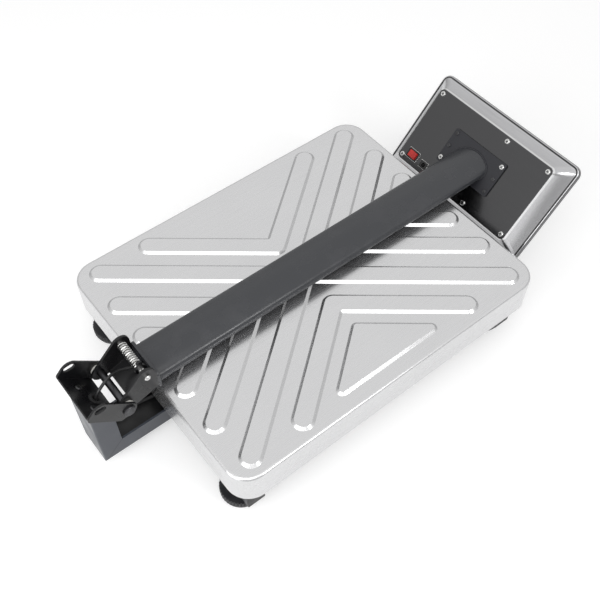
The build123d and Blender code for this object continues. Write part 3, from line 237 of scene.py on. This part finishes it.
def brushed(name, color, dark, roughness, stretch, turn=(0, 0, 0), metallic=1.0):
    """Brushed sheet metal: a fine grain along one direction, and slow cloudy variation."""
    shader = Shader(name, color, roughness, metallic)
    shader.round_edges(0.5 * MM)
    grain = shader.noise(900, stretch, turn, detail=4)
    shader.tint(shader.ramp(grain, 0.42, 0.7, 0.0, 0.3), dark)
    cloud = shader.noise(9, seed=3.1)
    shader.tint(shader.ramp(cloud, 0.45, 0.75, 0.0, 0.25), dark)
    shader.vary_roughness(grain, roughness - 0.04, roughness + 0.06)
    shader.bump(grain, 0.06, 0.02 * MM)
    return shader


def painted(name, color, worn, roughness, orange_peel=0.12):
    """Powder-coated or painted steel: orange peel, faint dust and slightly lighter patches."""
    shader = Shader(name, color, roughness)
    shader.round_edges(0.6 * MM)
    dust = shader.noise(35, detail=6, seed=1.7)
    shader.tint(shader.ramp(dust, 0.5, 0.8, 0.0, 0.35), worn)
    peel = shader.noise(1400, detail=2)
    shader.vary_roughness(dust, roughness - 0.05, roughness + 0.08)
    shader.bump(peel, orange_peel, 0.05 * MM)
    return shader


def plastic(name, color, worn, roughness, grain=0.2):
    """Moulded plastic or rubber with a fine eroded texture."""
    shader = Shader(name, color, roughness)
    shader.round_edges(0.4 * MM)
    fine = shader.noise(2200, detail=2)
    broad = shader.noise(60, detail=4, seed=5.3)
    shader.tint(shader.ramp(broad, 0.45, 0.8, 0.0, 0.4), worn)
    shader.vary_roughness(broad, roughness - 0.06, roughness + 0.08)
    shader.bump(fine, grain, 0.04 * MM)
    return shader


def plated(name, color, dark, roughness):
    """Zinc or nickel plating: bright metal with small stains."""
    shader = Shader(name, color, roughness, 1.0)
    shader.round_edges(0.3 * MM)
    stains = shader.noise(160, detail=5, seed=8.2)
    shader.tint(shader.ramp(stains, 0.48, 0.75, 0.0, 0.6), dark)
    shader.vary_roughness(stains, roughness - 0.05, roughness + 0.1)
    shader.bump(shader.noise(1800, detail=2), 0.08, 0.02 * MM)
    return shader


# Materials of the pan and the head
pan_steel = brushed(
    "pan_steel", (0.66, 0.66, 0.665), (0.6, 0.6, 0.61), 0.24, (0.02, 1, 1), metallic=0.92
)
shell_steel = brushed(
    "shell_steel", (0.56, 0.56, 0.57), (0.4, 0.4, 0.41), 0.2, (1, 0.02, 1), metallic=1.0
)
# Painted reflection: the flat back panel, facing out of the head, is coloured dark as if it
# mirrored a dark room
dark_reflection_facing = shell_steel.facing(HEAD_BACK)
shell_steel.tint(shell_steel.ramp(dark_reflection_facing, 0.985, 0.995, 0.0, 1.0), (0.085, 0.085, 0.087))

# Painted light on the shell's creases: painted shade at both edges of the rim's bead, and a
# painted highlight round the flat back
RIM_HALF_WIDTH = 134 * MM
RIM_HALF_HEIGHT = 80.8 * MM
RIM_CORNER = 13 * MM
RIM_BEAD = 3.4 * MM
from_rim = shell_steel.rounded_box(
    head_mid, HEAD_LEFT, HEAD_UP, RIM_HALF_WIDTH, RIM_HALF_HEIGHT, RIM_CORNER
)
# Painted shade: dark lines at the bead's inner corner and at the rim's outer edge
shell_steel.tint(shell_steel.line(from_rim, -RIM_BEAD, 0.9 * MM, 0.9), (0.03, 0.03, 0.03))
shell_steel.tint(shell_steel.ramp(from_rim, -0.9 * MM, -0.2 * MM, 0.0, 0.9), (0.03, 0.03, 0.03))
from_panel = shell_steel.rounded_box(
    head_mid, HEAD_LEFT, HEAD_UP, 111 * MM, 60.8 * MM, 7 * MM
)
# Painted highlight: a bright line just outside the flat back panel
shell_steel.tint(shell_steel.line(from_panel, 1.0 * MM, 1.4 * MM, 0.8), (0.8, 0.8, 0.8))

# Painted steel
column_paint = painted("column_paint", (0.04, 0.042, 0.047), (0.07, 0.07, 0.075), 0.24)
plate_paint = painted("plate_paint", (0.012, 0.0125, 0.017), (0.03, 0.03, 0.035), 0.5)
black_paint = painted("black_paint", (0.005, 0.005, 0.006), (0.012, 0.012, 0.014), 0.3)
bracket_paint = painted("bracket_paint", (0.05, 0.056, 0.07), (0.09, 0.095, 0.105), 0.36)
frame_paint = painted("frame_paint", (0.06, 0.063, 0.068), (0.1, 0.1, 0.1), 0.45)

# Painted shade: the inside of the bracket's channel is coloured near black, and a dark mitre seam
# runs across its lower corner
bracket_low = Vector(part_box("base_bracket")[0])
bracket_inside = -bracket_low.y - BRACKET_SHEET
inner_corner = Vector((bracket_low.x + BRACKET_POST_LENGTH, 0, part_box("base_rails")[1][2]))
seam_run = Vector((inner_corner.x - bracket_low.x, 0, inner_corner.z - bracket_low.z))
seam_side = Vector((-seam_run.z, 0, seam_run.x)).normalized()
from_middle = bracket_paint.combine("ABSOLUTE", bracket_paint.along((0, 1, 0), (0, 0, 0)))
from_end = bracket_paint.along((1, 0, 0), bracket_low)
from_bottom = bracket_paint.along((0, 0, 1), bracket_low)
between = bracket_paint.ramp(
    from_middle, bracket_inside + 0.1 * MM, bracket_inside + 0.3 * MM, 1.0, 0.0
)
behind_end = bracket_paint.ramp(from_end, BRACKET_SHEET / 3, BRACKET_SHEET / 2, 0.0, 1.0)
above_bottom = bracket_paint.ramp(from_bottom, BRACKET_SHEET / 3, BRACKET_SHEET / 2, 0.0, 1.0)
inside = bracket_paint.combine("MULTIPLY", between, behind_end)
inside = bracket_paint.combine("MULTIPLY", inside, above_bottom)
# Painted shade inside the channel
bracket_paint.tint(inside, (0.006, 0.006, 0.007))
off_seam = bracket_paint.combine("ABSOLUTE", bracket_paint.along(seam_side, bracket_low))
seam = bracket_paint.ramp(off_seam, 0.35 * MM, 0.7 * MM, 0.85, 0.0)
below_corner = bracket_paint.ramp(from_bottom, seam_run.z, seam_run.z + 0.3 * MM, 1.0, 0.0)
bracket_paint.tint(bracket_paint.combine("MULTIPLY", seam, below_corner), (0.01, 0.01, 0.012))

# Plated steel, aluminium and brass
zinc = plated("zinc", (0.72, 0.72, 0.71), (0.45, 0.45, 0.44), 0.22)
dark_zinc = plated("dark_zinc", (0.09, 0.09, 0.095), (0.05, 0.05, 0.05), 0.35)
aluminium = brushed("aluminium", (0.75, 0.75, 0.76), (0.6, 0.6, 0.62), 0.3, (0.02, 1, 1))
brass = plated("brass", (0.75, 0.58, 0.28), (0.5, 0.36, 0.15), 0.25)

# Plastics and rubber
black_plastic = plastic("black_plastic", (0.012, 0.012, 0.013), (0.035, 0.035, 0.036), 0.5)
switch_black = plastic("switch_black", (0.008, 0.008, 0.008), (0.02, 0.02, 0.02), 0.35, 0.1)
knob_plastic = plastic("knob_plastic", (0.014, 0.0145, 0.017), (0.05, 0.05, 0.055), 0.45)
rubber = plastic("rubber", (0.014, 0.014, 0.015), (0.03, 0.03, 0.03), 0.6)
cable_jacket = plastic("cable_jacket", (0.02, 0.02, 0.021), (0.045, 0.045, 0.045), 0.42, 0.1)
red_plastic = plastic("red_plastic", (0.52, 0.022, 0.02), (0.62, 0.07, 0.05), 0.3, 0.05)
bezel_plastic = plastic("bezel_plastic", (0.055, 0.058, 0.065), (0.08, 0.083, 0.09), 0.48)
key_plastic = plastic("key_plastic", (0.62, 0.62, 0.6), (0.5, 0.5, 0.48), 0.5)
key_blue = plastic("key_blue", (0.05, 0.14, 0.36), (0.08, 0.2, 0.45), 0.5)
nylon = plastic("nylon", (0.74, 0.73, 0.69), (0.6, 0.59, 0.55), 0.45)
battery_wrap = plastic("battery_wrap", (0.03, 0.07, 0.22), (0.05, 0.1, 0.3), 0.35)
board_green = plastic("board_green", (0.012, 0.12, 0.05), (0.02, 0.2, 0.08), 0.35)
display_grey = plastic("display_grey", (0.2, 0.25, 0.17), (0.24, 0.29, 0.2), 0.3, 0.02)

window_glass = Shader("window_glass", (0.5, 0.56, 0.5), 0.06)
window_glass.bsdf.inputs["Transmission Weight"].default_value = 0.85
window_glass.bsdf.inputs["IOR"].default_value = 1.49
window_glass.bump(window_glass.noise(40, detail=2), 0.02, 0.1 * MM)
window_glass.tint(
    window_glass.ramp(window_glass.noise(25, detail=3), 0.4, 0.8, 0.0, 0.3), (0.42, 0.5, 0.44)
)

looks = {
    "weighing_pan": pan_steel,
    "head_rear_shell": shell_steel,
    "column_tube": column_paint,
    "column_end_plate": column_paint,
    "column_foot": black_paint,
    "hinge_bracket": black_paint,
    "lock_collar": black_paint,
    "base_bracket": bracket_paint,
    "head_mount_plate": plate_paint,
    "head_backing_plate": zinc,
    "mount_bolts": dark_zinc,
    "load_cell": aluminium,
    "cell_spacers": aluminium,
    "board_posts": brass,
    "tube_end_caps": black_plastic,
    "cable_grommet": rubber,
    "pan_pads": rubber,
    "signal_cable": cable_jacket,
    "keypad_mat": rubber,
    "pivot_washers": nylon,
    "front_bezel": bezel_plastic,
    "display_window": window_glass,
    "lcd_module": display_grey,
    "circuit_board": board_green,
    "battery": battery_wrap,
    "rocker_housing": switch_black,
    "dc_socket": switch_black,
    "rocker": red_plastic,
}
for node in ("base_cross_tubes", "base_rails", "cell_plate"):
    looks[node] = frame_paint
for node in ("carrier_long_tubes", "carrier_cross_tubes", "carrier_plate"):
    looks[node] = frame_paint
for node in ("hinge_screws", "pivot_pin", "pivot_clip"):
    looks[node] = dark_zinc
for node in (
    "bracket_bolts",
    "cell_bolts",
    "foot_nuts",
    "overload_stops",
    "mount_screws",
    "shell_screws",
    "lock_pin",
    "lock_spring",
):
    looks[node] = zinc
for node in nodes:
    if node.startswith("levelling_foot"):
        looks[node] = knob_plastic
    if node.startswith("key_"):
        looks[node] = key_plastic
for node in ("key_5", "key_10"):
    looks[node] = key_blue

for node, obj in nodes.items():
    obj.data.materials.clear()
    obj.data.materials.append(looks[node].material)


def mesh_piece(name, points, faces, shader, body):
    """A small piece of detail that rides on a body."""
    mesh = bpy.data.meshes.new(name)
    mesh.from_pydata(points, [], faces)
    mesh.update()
    for polygon in mesh.polygons:
        polygon.use_smooth = True
    piece = bpy.data.objects.new(name, mesh)
    scene.collection.objects.link(piece)
    mesh.materials.append(shader.material)
    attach(piece, body)
    return piece


def head_centres(node, outward, spread):
    """Middles of the screw heads of a node, from the outermost points of its mesh."""
    points = [vertex.co.copy() for vertex in nodes[node].data.vertices]
    reach = max(point.dot(outward) for point in points)
    groups = []
    for point in points:
        if point.dot(outward) < reach - 0.05 * MM:
            continue
        near = [group for group in groups if (group[0] - point).length < spread]
        if near:
            near[0].append(point)
        else:
            groups.append([point])
    return [sum(group, Vector()) / len(group) for group in groups]


def cross_recesses(node, outward, head_radius, turn, body):
    """Cross slots drawn as dark patches a hair proud of the tops of a node's screw heads; their
    darkness is painted shade of the recesses.
    """
    side = Vector((0, 1, 0))
    up = outward.cross(side)
    arm = 0.62 * head_radius
    half = 0.15 * head_radius
    outline = [(arm, half), (half, half), (half, arm)]
    corners = []
    for quarter in range(4):
        angle = quarter * math.pi / 2 + turn
        for x, y in outline:
            corners.append(
                (
                    x * math.cos(angle) - y * math.sin(angle),
                    x * math.sin(angle) + y * math.cos(angle),
                )
            )
    points = []
    faces = []
    for middle in head_centres(node, outward, 2 * head_radius):
        for level in (0.03 * MM, -0.3 * MM):
            for x, y in corners:
                points.append(middle + side * x + up * y + outward * level)
        start = len(points) - 2 * len(corners)
        faces.append([start + index for index in range(len(corners))])
        for index in range(len(corners)):
            following = (index + 1) % len(corners)
            lower = start + len(corners)
            faces.append([start + following, start + index, lower + index, lower + following])
    piece = mesh_piece(f"{node}_recess", points, faces, painted_recess_shade, body)
    for polygon in piece.data.polygons:
        polygon.use_smooth = False


# Painted shade: the screw recesses are thin dark patches on the heads, not cut into them
painted_recess_shade = plated("painted_recess_shade", (0.05, 0.05, 0.05), (0.02, 0.02, 0.02), 0.4)
cross_recesses("shell_screws", HEAD_BACK, 3.8 * MM, 0.4, "column")
cross_recesses("mount_screws", HEAD_BACK, 3.8 * MM, 0.9, "column")
cross_recesses("mount_bolts", HEAD_BACK, 2.9 * MM, 0.2, "column")
cross_recesses("hinge_screws", HINGE_OUT, 4.5 * MM, 0.5, "base")


def oval_points(half_width, half_depth, end_radius, count):
    """Points round the column's four-arc oval, as across and up pairs."""
    reach = half_width - end_radius
    side_radius = (reach**2 + half_depth**2 - end_radius**2) / (2 * (half_depth - end_radius))
    drop = side_radius - half_depth
    points = []
    for index in range(count):
        angle = 2 * math.pi * index / count
        across, up = math.cos(angle), math.sin(angle)
        if abs(across) * drop < abs(up) * reach:
            points.append(
                (side_radius * across, side_radius * up - math.copysign(drop, up))
            )
        else:
            points.append(
                (end_radius * across + math.copysign(reach, across), end_radius * up)
            )
    return points


def weld_bead(name, loop, radius, ripples, body, shader):
    """A closed bead along a loop of points, with the small ripples of a weld."""
    sides = 8
    count = len(loop)
    middle = sum(loop, Vector()) / count
    points = []
    faces = []
    for index, here in enumerate(loop):
        run = (loop[(index + 1) % count] - loop[index - 1]).normalized()
        out = (here - middle) - run * (here - middle).dot(run)
        out.normalize()
        lift = run.cross(out)
        thick = radius * (1 + 0.13 * math.sin(2 * math.pi * ripples * index / count))
        for side in range(sides):
            angle = 2 * math.pi * side / sides
            points.append(here + (out * math.cos(angle) + lift * math.sin(angle)) * thick)
    for index in range(count):
        here = index * sides
        onward = ((index + 1) % count) * sides
        for side in range(sides):
            beside = (side + 1) % sides
            faces.append([here + side, here + beside, onward + beside, onward + side])
    mesh_piece(name, points, faces, shader, body)


tube_low, tube_high = [Vector(corner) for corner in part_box("column_tube")]
BEAD_POINTS = 288
BEAD_RIPPLES = 46
head_loop = []
plate_loop = []
for across, up in oval_points(
    tube_high.y, (tube_high.z - tube_low.z) / 2, COLUMN_END_RADIUS, BEAD_POINTS
):
    level = (tube_low.z + tube_high.z) / 2 + up
    reach = (math.cos(HEAD_TILT) * (level - head_mid.z) - MOUNT_THICKNESS) / math.sin(HEAD_TILT)
    head_loop.append(Vector((head_mid.x + reach, across, level)))
    plate_loop.append(Vector((tube_low.x, across, level)))
weld_bead(
    "head_weld", head_loop, 1.5 * MM, BEAD_RIPPLES, "column", plate_paint
)
weld_bead(
    "plate_weld", plate_loop, 1.0 * MM, BEAD_RIPPLES, "column", column_paint
)


def bezel_trim(name, node, width, thickness):
    """A thin bright edge round a part set into the back panel."""
    points = [vertex.co - head_mid for vertex in nodes[node].data.vertices]
    above = [point for point in points if point.dot(HEAD_BACK) > 0.1 * MM]
    across = [point.dot(HEAD_LEFT) for point in above]
    up = [point.dot(HEAD_UP) for point in above]
    ring = []
    for grow in (0, width):
        left, right = min(across) - grow, max(across) + grow
        low, high = min(up) - grow, max(up) + grow
        for level in (0, thickness):
            for y, u in ((left, low), (right, low), (right, high), (left, high)):
                ring.append(head_mid + HEAD_LEFT * y + HEAD_UP * u + HEAD_BACK * level)
    faces = []
    for index in range(4):
        beside = (index + 1) % 4
        faces.append([4 + index, 4 + beside, 12 + beside, 12 + index])
        faces.append([12 + index, 12 + beside, 8 + beside, 8 + index])
        faces.append([index, beside, 4 + beside, 4 + index])
    piece = mesh_piece(name, ring, faces, zinc, "column")
    for polygon in piece.data.polygons:
        polygon.use_smooth = False


bezel_trim("switch_trim", "rocker_housing", 0.6 * MM, 0.5 * MM)
bezel_trim("socket_trim", "dc_socket", 0.5 * MM, 0.4 * MM)

# Stage: a pale floor that reads as white, and a plain white surround
FLOOR_SIZE = 8.0
bpy.ops.mesh.primitive_plane_add(size=FLOOR_SIZE, location=(0, 0, -0.2 * MM))
floor = bpy.context.object
floor.name = "floor"
floor_material = bpy.data.materials.new("floor")
floor_material.use_nodes = True
tree = floor_material.node_tree
tree.nodes.clear()
path = tree.nodes.new("ShaderNodeLightPath")
seen = tree.nodes.new("ShaderNodeMath")
seen.operation = "MAXIMUM"
tree.links.new(path.outputs["Is Camera Ray"], seen.inputs[0])
tree.links.new(path.outputs["Is Glossy Ray"], seen.inputs[1])
seen_through = tree.nodes.new("ShaderNodeMath")
seen_through.operation = "MAXIMUM"
tree.links.new(seen.outputs["Value"], seen_through.inputs[0])
tree.links.new(path.outputs["Is Transmission Ray"], seen_through.inputs[1])
plain = tree.nodes.new("ShaderNodeBsdfDiffuse")
plain.inputs["Color"].default_value = (0.72, 0.72, 0.72, 1)
lifted = tree.nodes.new("ShaderNodeAddShader")
glow = tree.nodes.new("ShaderNodeEmission")
glow.inputs["Strength"].default_value = 0.45
tree.links.new(plain.outputs["BSDF"], lifted.inputs[0])
tree.links.new(glow.outputs["Emission"], lifted.inputs[1])
choice = tree.nodes.new("ShaderNodeMixShader")
tree.links.new(seen_through.outputs["Value"], choice.inputs["Fac"])
tree.links.new(plain.outputs["BSDF"], choice.inputs[1])
tree.links.new(lifted.outputs["Shader"], choice.inputs[2])
output = tree.nodes.new("ShaderNodeOutputMaterial")
tree.links.new(choice.outputs["Shader"], output.inputs["Surface"])
floor.data.materials.append(floor_material)

scene.view_settings.view_transform = "Standard"
world = bpy.data.worlds.new("studio")
scene.world = world
world.use_nodes = True
sky = world.node_tree
sky.nodes.clear()
sky_path = sky.nodes.new("ShaderNodeLightPath")
white = sky.nodes.new("ShaderNodeBackground")
white.inputs["Color"].default_value = (1, 1, 1, 1)
mirrored = sky.nodes.new("ShaderNodeBackground")
mirrored.inputs["Color"].default_value = (1, 1, 1, 1)
height = sky.nodes.new("ShaderNodeSeparateXYZ")
sky_coords = sky.nodes.new("ShaderNodeTexCoord")
sky.links.new(sky_coords.outputs["Generated"], height.inputs["Vector"])
studio = sky.nodes.new("ShaderNodeMapRange")
studio.clamp = True
studio.inputs["From Min"].default_value = 0.0
studio.inputs["From Max"].default_value = 0.6
studio.inputs["To Min"].default_value = 0.45
studio.inputs["To Max"].default_value = 0.97
sky.links.new(height.outputs["Z"], studio.inputs["Value"])
sky.links.new(studio.outputs["Result"], mirrored.inputs["Strength"])
ambient = sky.nodes.new("ShaderNodeBackground")
ambient.inputs["Color"].default_value = (1, 1, 1, 1)
ambient.inputs["Strength"].default_value = 0.55
glossy_mix = sky.nodes.new("ShaderNodeMixShader")
sky.links.new(sky_path.outputs["Is Glossy Ray"], glossy_mix.inputs["Fac"])
sky.links.new(ambient.outputs["Background"], glossy_mix.inputs[1])
sky.links.new(mirrored.outputs["Background"], glossy_mix.inputs[2])
sky_seen = sky.nodes.new("ShaderNodeMath")
sky_seen.operation = "MAXIMUM"
sky.links.new(sky_path.outputs["Is Camera Ray"], sky_seen.inputs[0])
sky.links.new(sky_path.outputs["Is Transmission Ray"], sky_seen.inputs[1])
sky_mix = sky.nodes.new("ShaderNodeMixShader")
sky.links.new(sky_seen.outputs["Value"], sky_mix.inputs["Fac"])
sky.links.new(glossy_mix.outputs["Shader"], sky_mix.inputs[1])
sky.links.new(white.outputs["Background"], sky_mix.inputs[2])
sky_output = sky.nodes.new("ShaderNodeOutputWorld")
sky.links.new(sky_mix.outputs["Shader"], sky_output.inputs["Surface"])


def area_light(name, place, aim, size, watts):
    """A square soft box at a place, turned to face a point."""
    data = bpy.data.lights.new(name, "AREA")
    data.size = size
    data.energy = watts
    light = bpy.data.objects.new(name, data)
    light.location = place
    light.rotation_euler = (Vector(aim) - Vector(place)).to_track_quat("-Z", "Y").to_euler()
    scene.collection.objects.link(light)


area_light("key", (-1.7, -0.3, 0.9), pan_mid, 1.2, 12)
area_light("strip", (0.4, -1.7, 1.3), pan_mid, 0.5, 6)
area_light("top", (-0.7, -0.8, 1.8), pan_mid, 1.4, 10)

camera_data = bpy.data.cameras.new("camera")
camera_data.sensor_width = SENSOR
camera_data.lens = SENSOR * FOCAL_PIXELS / IMAGE_PIXELS
camera = bpy.data.objects.new("camera", camera_data)
camera_back = Vector(
    (
        math.sin(CAMERA_AZIMUTH) * math.cos(CAMERA_ELEVATION),
        -math.cos(CAMERA_AZIMUTH) * math.cos(CAMERA_ELEVATION),
        math.sin(CAMERA_ELEVATION),
    )
)
camera.location = Vector((pan_mid.x, 0, pan_top)) + CAMERA_FROM_PAN
camera.rotation_mode = "QUATERNION"
camera.rotation_quaternion = (-camera_back).to_track_quat("-Z", "Y")
scene.collection.objects.link(camera)
scene.camera = camera
